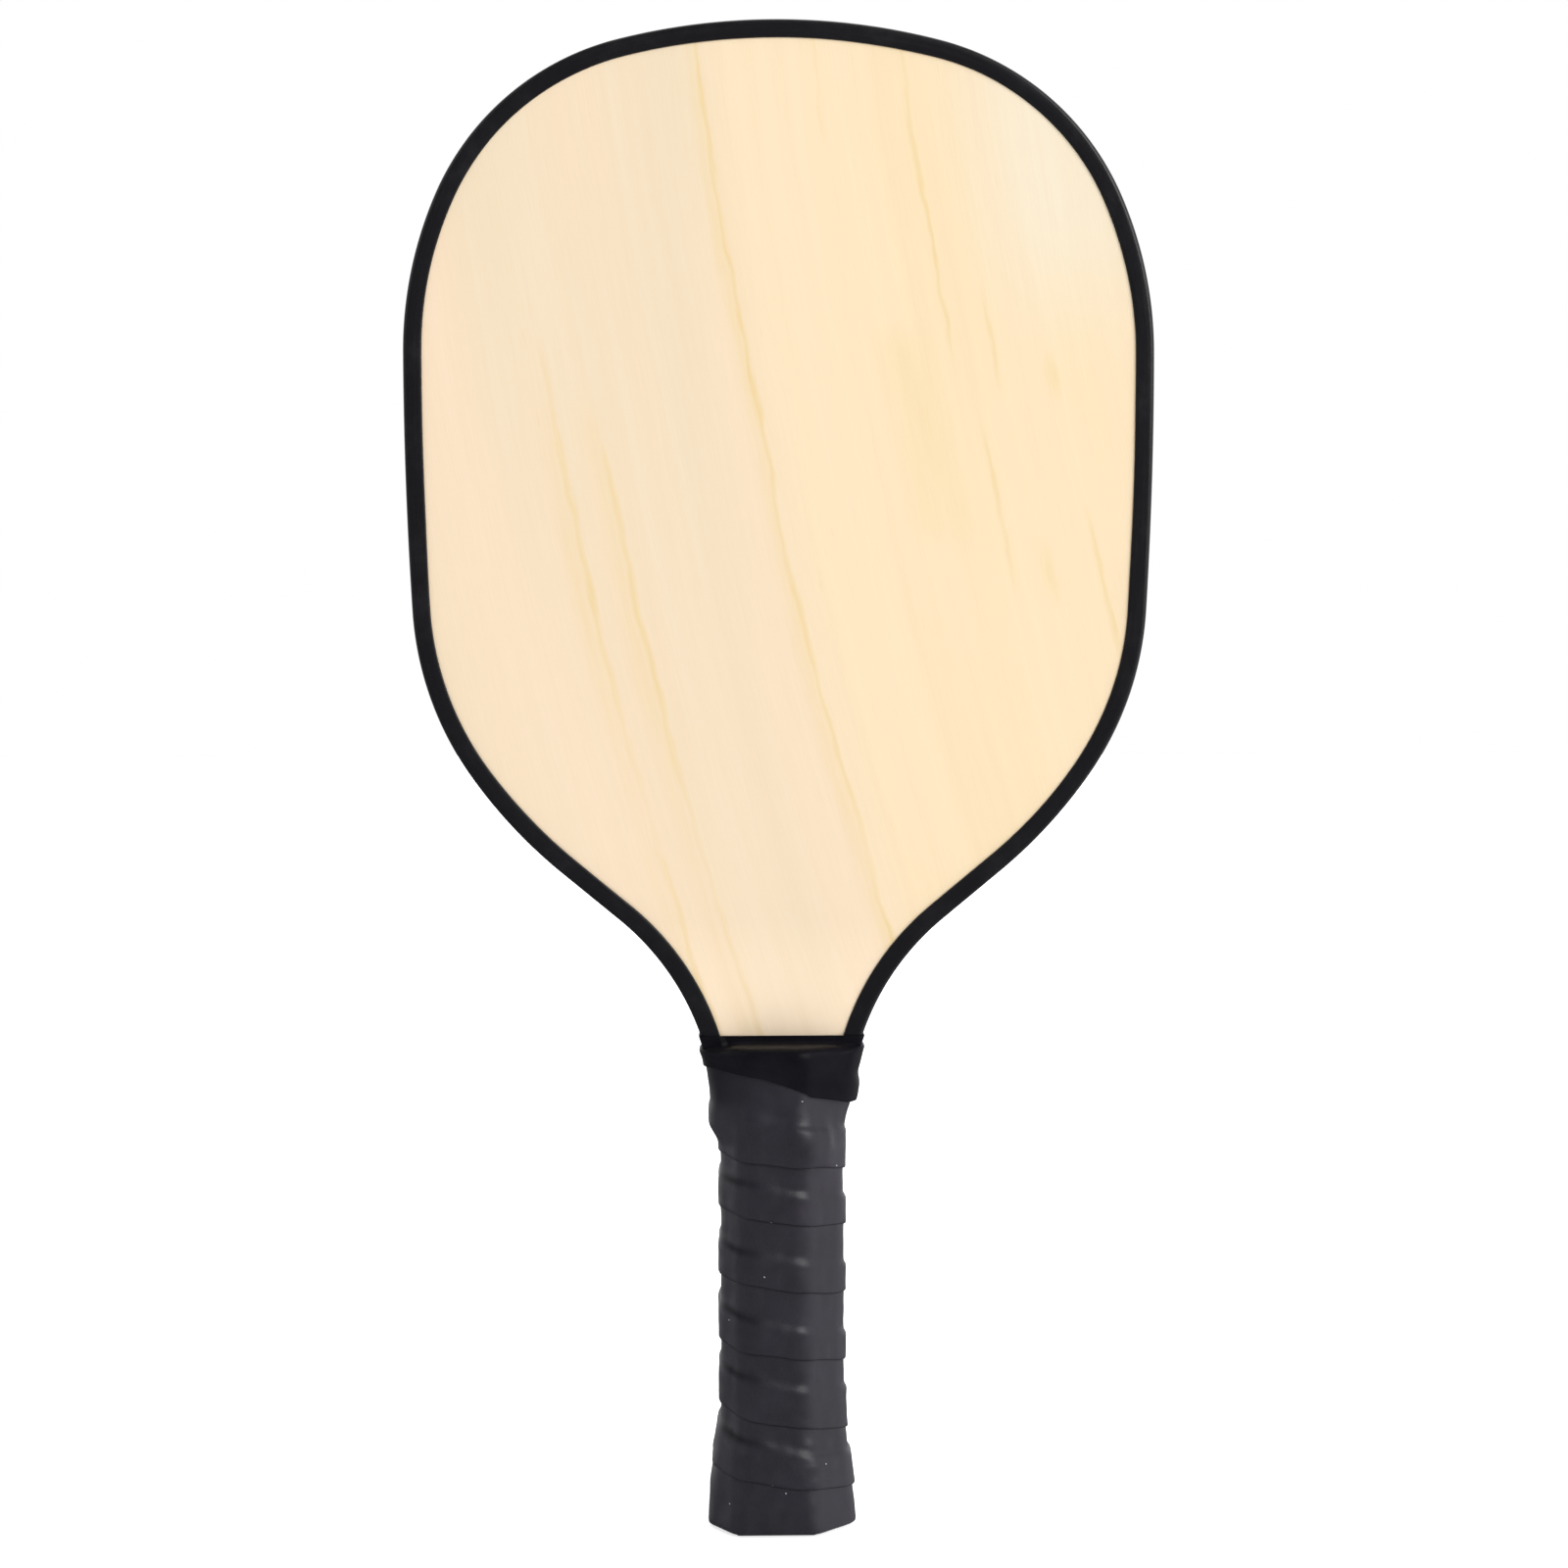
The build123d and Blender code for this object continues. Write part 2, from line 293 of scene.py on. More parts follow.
def make_guard():
    stations = guard_stations()
    vertices = []
    for i, (x, z, nx, nz) in enumerate(stations):
        band, lift = GUARD_WALL, 0.0
        if z > LIP_FOOT:
            wander = math.sin(i * 0.031) + math.sin(i * 0.077 + 1.3) + 0.6 * math.sin(i * 0.171 + 0.4)
            band = GUARD_BAND + BAND_WANDER * wander
            lift = LIP_LIFT * max(-1.0, math.sin(i * 0.043 + 0.8) + 0.5 * math.sin(i * 0.117))
        for inset, y in guard_section(band, lift):
            vertices.append((x - nx * inset, y, z - nz * inset))
    columns = len(vertices) // len(stations)
    faces = grid_faces(len(stations), columns, True)
    faces.append(tuple(range(columns))[::-1])
    faces.append(tuple(len(vertices) - columns + j for j in range(columns)))
    return make_mesh("edge_guard_channel", vertices, faces)


# ---------------------------------------------------------------- handle surface
def flare(height):
    """How far the butt cap stands out from the handle at a height."""
    drop = max(0.0, CAP_TOP - height)
    arc_drop = FLARE_RADIUS * math.sin(FLARE_ANGLE)
    if drop < arc_drop:
        return FLARE_RADIUS - math.sqrt(FLARE_RADIUS**2 - drop**2)
    return FLARE_RADIUS * (1 - math.cos(FLARE_ANGLE)) + (drop - arc_drop) * math.tan(FLARE_ANGLE)


def smooth_step(value):
    value = np.clip(value, 0.0, 1.0)
    return value * value * (3 - 2 * value)


def tail_width(height, foot, swell):
    """Half width on one side: the guard's tail above its foot, the bare handle below."""
    blend = smooth_step((height - (foot - swell)) / (swell + SWELL_OVERRUN))
    return CORE_HALF_WIDTH + (guard_half_width(height) - CORE_HALF_WIDTH) * blend


LONGEST_ROUNDING = 0.45  # of the shorter side at a corner
JUST_INSIDE = 1.001  # rows before the end of a table, so that there is always a next one


def rounded_polygon(corners, radius, per_corner=14):
    """Points round a convex polygon whose corners, in order anticlockwise, are rounded."""
    count = len(corners)
    points = []
    for i in range(count):
        before, here, after = (np.array(corners[(i + k) % count]) for k in (-1, 0, 1))
        sides = [np.linalg.norm(other - here) for other in (before, after)]
        a, b = (before - here) / sides[0], (after - here) / sides[1]
        half = math.acos(np.clip(a @ b, -1, 1)) / 2
        reach = min(radius / math.tan(half), LONGEST_ROUNDING * min(sides))
        start, end = here + a * reach, here + b * reach
        for k in range(per_corner + 1):
            t = k / per_corner
            points.append((1 - t) ** 2 * start + 2 * t * (1 - t) * here + t * t * end)
    return np.array(points)


def densified(ring, count):
    """Points spaced evenly along a closed ring."""
    closed = np.vstack([ring, ring[:1]])
    length = np.concatenate([[0], np.cumsum(np.hypot(*np.diff(closed, axis=0).T))])
    wanted = np.linspace(0, length[-1], count, endpoint=False)
    return np.stack([np.interp(wanted, length, closed[:, k]) for k in (0, 1)], axis=-1)


ANGLES = 360
LEVEL_STEP = 0.5 * MM
RING_POINTS = 1440


def handle_corners(height):
    """Corners of the bare handle's octagon at a height, anticlockwise from the right."""
    grow = flare(height)
    sink = 0.0
    if height < RIM_RADIUS:
        sink = RIM_RADIUS - math.sqrt(RIM_RADIUS**2 - (RIM_RADIUS - height) ** 2)
    grow -= sink
    right = tail_width(height, RIGHT_SWELL_TOP, RIGHT_SWELL) + grow
    left = tail_width(height, GUARD_FOOT, LEFT_SWELL) + grow
    facet_left, facet_right = FACET_LEFT + grow, FACET_RIGHT + grow
    side, depth = SIDE_FACET_HALF + grow, CORE_HALF_DEPTH + grow
    corners = [(right, -side), (right, side), (facet_right, depth), (-facet_left, depth)]
    corners += [(-left, side), (-left, -side), (-facet_left, -depth), (facet_right, -depth)]
    return corners


def handle_radius_table():
    """Polar radius of the bare handle under the tape, for each level and whole degree."""
    degrees = np.arange(ANGLES)
    table = []
    for height in np.arange(0.0, FINISH_TOP + LEVEL_STEP, LEVEL_STEP):
        rounding = BUTT_ROUND + (EDGE_ROUND - BUTT_ROUND) * smooth_step(height / BUTT_STRETCH)
        ring = densified(rounded_polygon(handle_corners(height), rounding), RING_POINTS)
        angle = np.degrees(np.arctan2(ring[:, 1], ring[:, 0])) % 360
        radius = np.hypot(ring[:, 0], ring[:, 1])
        order = np.argsort(angle)
        table.append(np.interp(degrees, angle[order], radius[order], period=360))
    return np.array(table)


HANDLE_TABLE = handle_radius_table()


def handle_radius(angle, height):
    """Radius of the bare handle at arrays of angles (radians) and heights."""
    a = np.degrees(angle) % 360
    h = np.clip(height / LEVEL_STEP, 0, len(HANDLE_TABLE) - JUST_INSIDE)
    a0, h0 = np.floor(a).astype(int) % ANGLES, np.floor(h).astype(int)
    fa, fh = a - np.floor(a), h - h0
    a1 = (a0 + 1) % ANGLES
    low = HANDLE_TABLE[h0, a0] * (1 - fa) + HANDLE_TABLE[h0, a1] * fa
    high = HANDLE_TABLE[h0 + 1, a0] * (1 - fa) + HANDLE_TABLE[h0 + 1, a1] * fa
    return low * (1 - fh) + high * fh


def handle_normal(angle, height):
    """Outward normal in the section plane, as an angle."""
    d = math.radians(1.0)
    r0, r1 = handle_radius(angle - d, height), handle_radius(angle + d, height)
    x0, y0 = r0 * np.cos(angle - d), r0 * np.sin(angle - d)
    x1, y1 = r1 * np.cos(angle + d), r1 * np.sin(angle + d)
    return np.arctan2(-(x1 - x0), y1 - y0)


# ---------------------------------------------------------------- grip tape
def seam_height(turn):
    """Height of the strip's lower edge after so many turns from the butt, at turn 0 on the left."""
    knots = np.array(SEAM_HEIGHTS[::-1]) * MM
    return np.interp(turn * 2, np.arange(len(knots)), knots)


def strip_edges(turn):
    """Lower and upper edge of the strip, as wound and trimmed, after so many turns."""
    wander = EDGE_WANDER * (np.sin(turn * 17.3) + 0.6 * np.sin(turn * 41.7 + 1.1))
    low = np.mean([seam_height(turn + apart) for apart in SEAM_SMOOTHING], axis=0) + wander
    return np.maximum(low, TAPE_FOOT), np.minimum(low + TAPE_WIDTH, TAPE_TOP)


def near_share(turn, middle, reach):
    """1 where the share of a turn is at the middle, falling to 0 within the reach."""
    apart = np.abs((turn - middle + 0.5) % 1 - 0.5)
    return smooth_step(1 - apart / reach)


def layers_below(turn, height):
    """Layers of the strip that lie under this turn at a height, settling past each edge."""
    ramp = TAPE_RAMP + (LONG_RAMP - TAPE_RAMP) * near_share(turn, LONG_RAMP_AT, LONG_RAMP_REACH)
    below = np.zeros_like(height)
    for back in (1, 2):
        earlier = turn - back
        edge = strip_edges(earlier)[1]
        covered = 1 - smooth_step((height - edge) / ramp + RAMP_LEAD)
        below = below + covered * smooth_step((earlier - FIRST_TURN) / START_FADE)
    return below


# Folds pressed into the tape, as (angle, height) of both ends in degrees and millimetres, then
# rise and half width. The first two are the broad swelling under the finishing tape, and the
# third is the tape's thicker start on the left of the butt.
FOLDS = [
    (-92, 102.5, -34, 101.0, 1.20, 6.0),
    (-78, 103.5, -38, 102.0, 0.90, 6.0),
    (-215, 9.0, -145, 9.0, 0.80, 10.0),
    (-132, 26.0, -100, 23.0, 0.20, 0.8),
    (-142, 22.5, -112, 19.6, 0.24, 0.9),
    (-68, 23.2, -40, 22.6, 0.30, 1.4),
    (-68, 17.8, -40, 17.4, 0.30, 1.3),
    (-66, 13.8, -42, 13.5, 0.14, 0.9),
    (-66, 41.8, -50, 41.2, 0.10, 1.0),
]


def fold_rise(angle, height):
    """How far the folds stand out at an angle and height."""
    degrees = np.degrees(angle) % 360 - 360
    total = np.zeros_like(height)
    for start, start_height, end, end_height, rise, half_width in FOLDS:
        along = (degrees - start) / (end - start)
        line = start_height + (end_height - start_height) * along
        window = smooth_step(1 - 2 * np.maximum(0.0, np.abs(along - 0.5) - 0.25))
        total = total + rise * MM * window * np.exp(-(((height / MM - line) / half_width) ** 2))
    return total


def groove_share(turn, height):
    """1 in the middle of the groove above the turn below, on the left front edge, 0 away from it; it also
    masks the painted shade there.
    """
    line = strip_edges(turn - 1)[1] + GROOVE_RISE
    window = near_share(turn, GROOVE_AT, GROOVE_REACH)
    window = window * smooth_step((turn - 1 - FIRST_TURN) / START_FADE)
    window = window * (1 - GROOVE_LOSS * smooth_step((turn - GROOVE_END) / GROOVE_FADE))
    return window * np.exp(-(((height - line) / GROOVE_WIDTH) ** 2))


def soft_noise(u, v, seed, count=14):
    """Smooth deterministic noise of about -1 to 1, a sum of random waves."""
    rng = np.random.default_rng(seed)
    total = np.zeros_like(u)
    for _ in range(count):
        direction = rng.uniform(0, 2 * math.pi)
        scale = rng.uniform(0.5, 1.6)
        phase = rng.uniform(0, 2 * math.pi)
        total = total + np.sin(scale * (u * math.cos(direction) + v * math.sin(direction)) + phase)
    return total / math.sqrt(count)


def tape_point(angle, height, offset):
    """Point on the handle at an angle and height, moved outwards by an offset."""
    radius = handle_radius(angle, height)
    normal = handle_normal(angle, height)
    x = radius * np.cos(angle) + offset * np.cos(normal)
    y = radius * np.sin(angle) + offset * np.sin(normal)
    return np.stack([x, y, height], axis=-1)


def strip_surface_offset(turn, height, low):
    """Height of the strip's outer surface above the bare handle."""
    tuck = EDGE_TUCK * (1 - smooth_step((height - low) / EDGE_PLACES[-1]))
    angle = math.pi - 2 * math.pi * turn
    around = angle * 9.0
    pucker = PUCKER * soft_noise(around * 1.7 + height * 260, height * 900, 5)
    swell = UNEVENNESS * soft_noise(around * 0.45, height * 330 + turn * 3, 8)
    build = TAPE_BEDDING + TAPE_THICKNESS * (1 + layers_below(turn, height))
    groove = GROOVE_DEPTH * groove_share(turn, height)
    return build + pucker + swell - tuck + fold_rise(angle, height) - groove


def top_shade(turn, height):
    """How much painted shade darkens the strip on the left, under the finishing tape."""
    return SHADE * near_share(turn, SHADE_AT, SHADE_REACH) * smooth_step((height - SHADE_FOOT) / SHADE_RISE)


def make_grip_tape():
    turns = np.arange(FIRST_TURN, LAST_TURN, 1 / STATIONS_PER_TURN)
    edge_width = EDGE_PLACES[-1]
    spread = np.linspace(0, 1, TAPE_COLUMNS - 2)[1:]
    vertices = []
    crease = []
    for turn in turns:
        low, high = strip_edges(turn)
        rest = low + edge_width + (high - low - edge_width) * spread
        heights = np.concatenate([low + np.array(EDGE_PLACES), rest])
        column_turn = np.full_like(heights, turn)
        offset = strip_surface_offset(column_turn, heights, low)
        vertices.extend(tape_point(math.pi - 2 * math.pi * column_turn, heights, offset))
        # painted shade: the groove over the turn below and the top turn's left are marked to be darkened in
        # the colour
        crease.extend(np.maximum(groove_share(column_turn, heights), top_shade(column_turn, heights)))
    tape = make_mesh("grip_tape_strip", vertices, grid_faces(len(turns), TAPE_COLUMNS, False))
    across = (TAPE_WIDTH - edge_width) / (TAPE_COLUMNS - len(EDGE_PLACES))
    add_section_uv(tape, TAPE_COLUMNS, TURN_LENGTH / STATIONS_PER_TURN, across)
    add_share(tape, "crease", crease)
    thicken(tape, TAPE_THICKNESS - LAYER_GAP)
    return tape


def thicken(obj, thickness):
    """Gives a sheet its thickness inwards."""
    modifier = obj.modifiers.new("thickness", "SOLIDIFY")
    modifier.thickness = thickness
    modifier.offset = -1
    modifier.use_rim = True


# ---------------------------------------------------------------- finishing tape
FINISH_THICKNESS = 0.25 * MM
FINISH_GAP = 0.04 * MM
FACE_COLUMNS = 140
SIDE_COLUMNS = 60
BLADE_RING_POINTS = 1600
COLLAR_ROUND = 1.3 * MM
COLUMN_EDGE = 4.9 * MM  # a ring's sides reach this far from the middle, the faces are the rest
RIDGE_RISE = 0.45 * MM  # the tape's outside over the end of the wood
LEFT_DROP = 1.35 * MM  # how much lower it lies over the guard's tails
RIGHT_DROP = 0.6 * MM
DROP_START = 11 * MM
DROP_WIDTH = 6 * MM
RIDGE_ROUND = 2.3 * MM
COVE = 1.3 * MM  # it does not reach into the corner between wood and blade
COLLAR_ROWS = 7
COVE_ANGLES = np.radians([15, 30, 45, 60, 75, 90])
LEDGE_ROWS = 7
LEDGE_MARKED = 9  # so many rows down to the end of the flat carry the ledge's sheen
BEND_ANGLES = np.radians([13, 26, 39, 52, 65, 78, 90])
WALL_ROWS = 29
LIP_STAND = 0.30 * MM  # how far its lower edge stands off on the right
FINISH_WANDER = 0.04 * MM
LAP_TOP = 116 * MM  # below this the tape on the right lies on two layers of the grip
LAP_FADE = 4 * MM
LAP_START = (-60, 60)  # degrees round the handle where that begins, and over how many it grows
LAP_END = (70, 50)
COVE_LIMIT = 0.4  # shares of the flat's depth that the cove and the bend may take
BEND_LIMIT = 0.5
LEDGE_FADE = 2.2  # how fast the ledge's sheen ends round the bend
SETTLED_BY = 0.5  # share of the wall's height
STAND_FROM = 3 * MM  # the lower edge stands off right of here
STAND_BLEND = 5 * MM
STAND_ABOVE = 0.45  # share of the wall's height, up from the edge
SIDE_BLEND = 4 * MM  # the lower edge passes from its front line to its back line within this
# Its lower edge on the front face as (x, height) in millimetres, with a step where it kinks.
FOOT_LINE = [(-19, 121.4), (-5.3, 119.4), (2.7, 116.8), (6.8, 115.2)]
FOOT_LINE += [(7.5, 114.5), (14.9, 112.9), (18.5, 112.1)]


def column_ring(ring):
    """Samples a ring at set places: along y on its two sides and along x on its two faces."""
    angle = np.degrees(np.arctan2(ring[:, 1], ring[:, 0]))
    ring = ring[np.argsort(angle)]
    right, left = ring[ring[:, 0] > 0], ring[ring[:, 0] < 0]
    front, back = ring[ring[:, 1] < 0], ring[ring[:, 1] > 0]
    right, left = (side[np.argsort(side[:, 1], kind="stable")] for side in (right, left))
    front, back = (face[np.argsort(face[:, 0], kind="stable")] for face in (front, back))
    rise = np.linspace(-COLUMN_EDGE, COLUMN_EDGE, SIDE_COLUMNS, endpoint=False)
    ends = [np.interp(COLUMN_EDGE, side[:, 1], side[:, 0]) for side in (left, right)]
    run = np.cos(np.linspace(0, math.pi, FACE_COLUMNS, endpoint=False))
    across = (ends[1] + ends[0]) / 2 + (ends[1] - ends[0]) / 2 * run
    returning = ends[0] + ends[1] - across
    stretches = [
        (np.interp(rise, right[:, 1], right[:, 0]), rise),
        (across, np.interp(across, back[:, 0], back[:, 1])),
        (np.interp(-rise, left[:, 1], left[:, 0]), -rise),
        (returning, np.interp(returning, front[:, 0], front[:, 1])),
    ]
    return np.vstack([np.column_stack(stretch) for stretch in stretches])


def blade_ring(height):
    """Outside of the collar round the blade and its guard at a height."""
    gap = FINISH_GAP + FINISH_THICKNESS
    wide = guard_half_width(height)
    out, deep, face = wide + gap, GUARD_HALF_DEPTH + gap, PLY_HALF_DEPTH + gap
    lip = wide - GUARD_BAND
    quarter = [(out, deep), (lip, deep), (lip - COLLAR_ROUND, face)]
    corners = quarter + [(-x, y) for x, y in quarter[::-1]]
    corners += [(-x, -y) for x, y in quarter] + [(x, -y) for x, y in quarter[::-1]]
    return column_ring(densified(rounded_polygon(corners, COLLAR_ROUND), BLADE_RING_POINTS))


def lap_swell(angle, height):
    """Extra stand-off on the right, where the tape covers two layers of the grip."""
    degrees = np.degrees((angle + math.pi) % (2 * math.pi) - math.pi)
    around = smooth_step((degrees - LAP_START[0]) / LAP_START[1])
    around = around * (1 - smooth_step((degrees - LAP_END[0]) / LAP_END[1]))
    return TAPE_THICKNESS * around * (1 - smooth_step((height - LAP_TOP) / LAP_FADE))


def grip_ring(height):
    """Outside of the finishing tape where it lies on the grip at a height."""
    angle = np.radians(np.arange(0, 360, 0.5))
    heights = np.full_like(angle, height)
    offset = TAPE_BEDDING + TAPE_THICKNESS + FINISH_GAP + FINISH_THICKNESS + lap_swell(angle, height)
    return column_ring(tape_point(angle, heights, offset)[:, :2])


class RingStack:
    """Rings at even levels, to read a point of each column at its own height."""

    def __init__(self, ring_at, low, high, step=LEVEL_STEP):
        self.low, self.step = low, step
        self.rings = np.array([ring_at(level) for level in np.arange(low, high + step, step)])

    def at(self, heights):
        place = np.clip((heights - self.low) / self.step, 0, len(self.rings) - JUST_INSIDE)
        below = place.astype(int)
        share = (place - below)[:, None]
        column = np.arange(len(heights))
        return self.rings[below, column] * (1 - share) + self.rings[below + 1, column] * share


def finish_foot(ring):
    """Height of the finishing tape's lower edge, column by column."""
    x, y = ring.T
    places = np.array(FOOT_LINE) * MM
    front = np.interp(x, places[:, 0], places[:, 1])
    left, right = places[0], places[-1]
    back = left[1] + (right[1] - left[1]) * smooth_step((x - left[0]) / (right[0] - left[0]))
    side = smooth_step((y + SIDE_BLEND) / (2 * SIDE_BLEND))
    return front + (back - front) * side


def ridge_height():
    """Height of the tape over the end of the wood, column by column, lower over the guard's tails."""
    across = blade_ring(HANDLE_TOP)[:, 0]
    drop = np.where(across < 0, LEFT_DROP, RIGHT_DROP)
    return HANDLE_TOP + RIDGE_RISE - drop * smooth_step((np.abs(across) - DROP_START) / DROP_WIDTH)


def finish_rows():
    """Rows of points down the tape: collar, cove, flat over the wood's end, bend, and the grip below."""
    blade = RingStack(blade_ring, HANDLE_TOP - 3 * MM, FINISH_TOP)
    grip = RingStack(grip_ring, FINISH_FOOT - 2 * MM, HANDLE_TOP + MM)
    ridge = ridge_height()
    inside, outside = blade.at(ridge), grip.at(ridge)
    depth = np.hypot(*(outside - inside).T)
    cove = np.minimum(COVE, COVE_LIMIT * depth)
    bend = np.minimum(RIDGE_ROUND, BEND_LIMIT * depth)

    def row(reach, height):
        return np.column_stack([inside + (outside - inside) * (reach / depth)[:, None], height])

    rows = []
    for share in np.linspace(0, 1, COLLAR_ROWS):
        height = FINISH_TOP + (ridge + cove - FINISH_TOP) * share
        rows.append(np.column_stack([blade.at(height), height]))
    for turn in COVE_ANGLES:
        rows.append(row(cove * (1 - math.cos(turn)), ridge + cove * (1 - math.sin(turn))))
    for share in np.linspace(0, 1, LEDGE_ROWS)[1:]:
        rows.append(row(cove + (depth - cove - bend) * share, ridge))
    ledge = [0.0] * (len(rows) - LEDGE_MARKED) + [1.0] * LEDGE_MARKED
    for turn in BEND_ANGLES:
        ledge.append(max(0.0, math.cos(LEDGE_FADE * turn)))
        rows.append(row(depth - bend * (1 - math.sin(turn)), ridge - bend * (1 - math.cos(turn))))
    rows += wall_rows(grip, ridge - bend, rows[-1][:, :2])
    ledge += [0.0] * (len(rows) - len(ledge))
    return rows, np.repeat(ledge, len(ridge))


def wall_rows(grip, start, above):
    """Rows down the outside of the grip, from the end of the bend to the tape's lower edge."""
    settled = above - grip.at(start)  # the bend ends where the tape meets the grip's taper
    foot = finish_foot(grip.at(start))
    rows = []
    for share in np.linspace(0, 1, WALL_ROWS)[1:]:
        height = start + (foot - start) * share
        ring = grip.at(height) + settled * (1 - smooth_step(share / SETTLED_BY))
        low = smooth_step((share - 1 + STAND_ABOVE) / STAND_ABOVE)
        stand = LIP_STAND * low * smooth_step((ring[:, 0] - STAND_FROM) / STAND_BLEND)
        stand += FINISH_WANDER * soft_noise(ring[:, 0] * 500, height * 1500, 21)
        ring = ring * (1 + stand / np.hypot(*ring.T))[:, None]
        rows.append(np.column_stack([ring, height]))
    return rows


def make_finishing_tape():
    rows, ledge = finish_rows()
    faces = grid_faces(len(rows), len(rows[0]), True)
    tape = make_mesh("finishing_tape_wrap", np.vstack(rows), faces, smooth_angle=60)
    add_share(tape, "ledge", ledge)
    thicken(tape, FINISH_THICKNESS)
    return tape


# ---------------------------------------------------------------- materials
class Tree:
    """Short-hand for building a node tree."""

    def __init__(self, tree):
        self.tree = tree

    def new(self, kind, **settings):
        node = self.tree.nodes.new(kind)
        for key, value in settings.items():
            setattr(node, key, value)
        return node

    def link(self, source, target):
        self.tree.links.new(source, target)

    def fill(self, sockets, values):
        for socket, value in zip(sockets, values):
            if isinstance(value, (int, float)):
                socket.default_value = value
            else:
                self.link(value, socket)

    def math(self, operation, a, b=0.0):
        node = self.new("ShaderNodeMath", operation=operation)
        self.fill(node.inputs, (a, b))
        return node.outputs[0]

    def product(self, *factors):
        result = factors[0]
        for factor in factors[1:]:
            result = self.math("MULTIPLY", result, factor)
        return result

    def split(self, vector):
        node = self.new("ShaderNodeSeparateXYZ")
        self.link(vector, node.inputs[0])
        return node.outputs

    def join(self, x, y, z):
        node = self.new("ShaderNodeCombineXYZ")
        self.fill(node.inputs, (x, y, z))
        return node.outputs[0]

    def noise(self, vector, scale, detail=2.0, roughness=0.5):
        node = self.new("ShaderNodeTexNoise")
        self.link(vector, node.inputs["Vector"])
        node.inputs["Scale"].default_value = scale
        node.inputs["Detail"].default_value = detail
        node.inputs["Roughness"].default_value = roughness
        return node.outputs["Fac"]

    def remap(self, value, low, high, to_low=0.0, to_high=1.0, smooth=False):
        node = self.new("ShaderNodeMapRange")
        node.interpolation_type = "SMOOTHSTEP" if smooth else "LINEAR"
        self.link(value, node.inputs["Value"])
        for name, number in (("From Min", low), ("From Max", high), ("To Min", to_low), ("To Max", to_high)):
            node.inputs[name].default_value = number
        return node.outputs["Result"]

    def mix(self, factor, a, b, blend="MIX"):
        node = self.new("ShaderNodeMix", data_type="RGBA", blend_type=blend)
        for name, value in (("Factor", factor), ("A", a), ("B", b)):
            socket = next(s for s in node.inputs if s.name == name and s.enabled)
            if isinstance(value, (int, float)):
                socket.default_value = value
            elif isinstance(value, tuple):
                socket.default_value = (*value, 1.0)
            else:
                self.link(value, socket)
        return next(s for s in node.outputs if s.enabled)


class Surface(Tree):
    """Node tree of a material with one Principled shader."""

    def __init__(self, name):
        self.material = bpy.data.materials.new(name)
        self.material.use_nodes = True
        super().__init__(self.material.node_tree)
        self.shader = self.tree.nodes["Principled BSDF"]

    def position(self):
        return self.new("ShaderNodeTexCoord").outputs["Object"]

    def share(self, name):
        return self.new("ShaderNodeAttribute", attribute_name=name).outputs["Fac"]

    def strip_place(self):
        """Place along and across a channel or strip, in metres."""
        return self.new("ShaderNodeUVMap", uv_map="along").outputs["UV"]

    def bump(self, height, distance):
        node = self.new("ShaderNodeBump")
        node.inputs["Strength"].default_value = 1.0
        node.inputs["Distance"].default_value = distance
        self.link(height, node.inputs["Height"])
        self.link(node.outputs["Normal"], self.shader.inputs["Normal"])

    def base(self, colour):
        self.link(colour, self.shader.inputs["Base Color"])

    def rough(self, value):
        self.link(value, self.shader.inputs["Roughness"])

    def specular(self, value):
        self.fill([self.shader.inputs["Specular IOR Level"]], [value])


def linear(red, green, blue):
    """Linear colour of an 8-bit sRGB one."""

    def one(value):
        value /= 255
        return value / 12.92 if value <= 0.04045 else ((value + 0.055) / 1.055) ** 2.4

    return one(red), one(green), one(blue)


# Distinct growth lines of the face veneers, as (place across the grain, half width, strength,
# height where it fades out at the bottom and at the top), in metres.
GROWTH_LINES = [
    (-0.0020, 0.0014, 0.66, 0.10, 0.42),
    (-0.0035, 0.0035, 0.25, 0.10, 0.42),
    (-0.0445, 0.0018, 0.55, 0.10, 0.290),
    (-0.0470, 0.0045, 0.22, 0.10, 0.300),
    (-0.0560, 0.0017, 0.55, 0.10, 0.315),
    (-0.0585, 0.0045, 0.22, 0.10, 0.305),
    (0.0291, 0.0009, 0.40, 0.360, 0.42),
    (0.0520, 0.0011, 0.55, 0.303, 0.42),
    (0.0630, 0.0012, 0.60, 0.297, 0.330),
    (0.0560, 0.0012, 0.60, 0.245, 0.293),
    (0.0790, 0.0015, 0.60, 0.226, 0.272),
    (0.0778, 0.0028, 0.50, 0.294, 0.312),
    (0.0655, 0.0028, 0.50, 0.240, 0.262),
    (0.0400, 0.0120, 0.22, 0.255, 0.320),
]
LINE_FADE = 0.012
LINE_JAG = 0.0036
BACK_SEED = 3.7  # the back sheet is another piece of veneer
BACK_SHIFT = 0.0481  # and its lines lie further across
GRAIN_MIDDLE = 0.275  # height from which the grain's lean and bend are measured
GRAIN_LEAN = 0.219
GRAIN_BEND = -0.378
GRAIN_WANDER = 0.007
TONE_EDGE = 0.012  # the paler left half and the yellower right half blend this far from the middle line
CORNER_PLACE = (0.055, 0.085)  # the upper right corner turns greyer from the first to the second
CORNER_HEIGHT = (0.30, 0.35)
THROAT_HEIGHT = (0.160, 0.128)  # painted light: the wood is paler towards the throat, from the first height down to the second, to make up for the shade that the handle's ledge casts there
THROAT_SHARE = 0.8


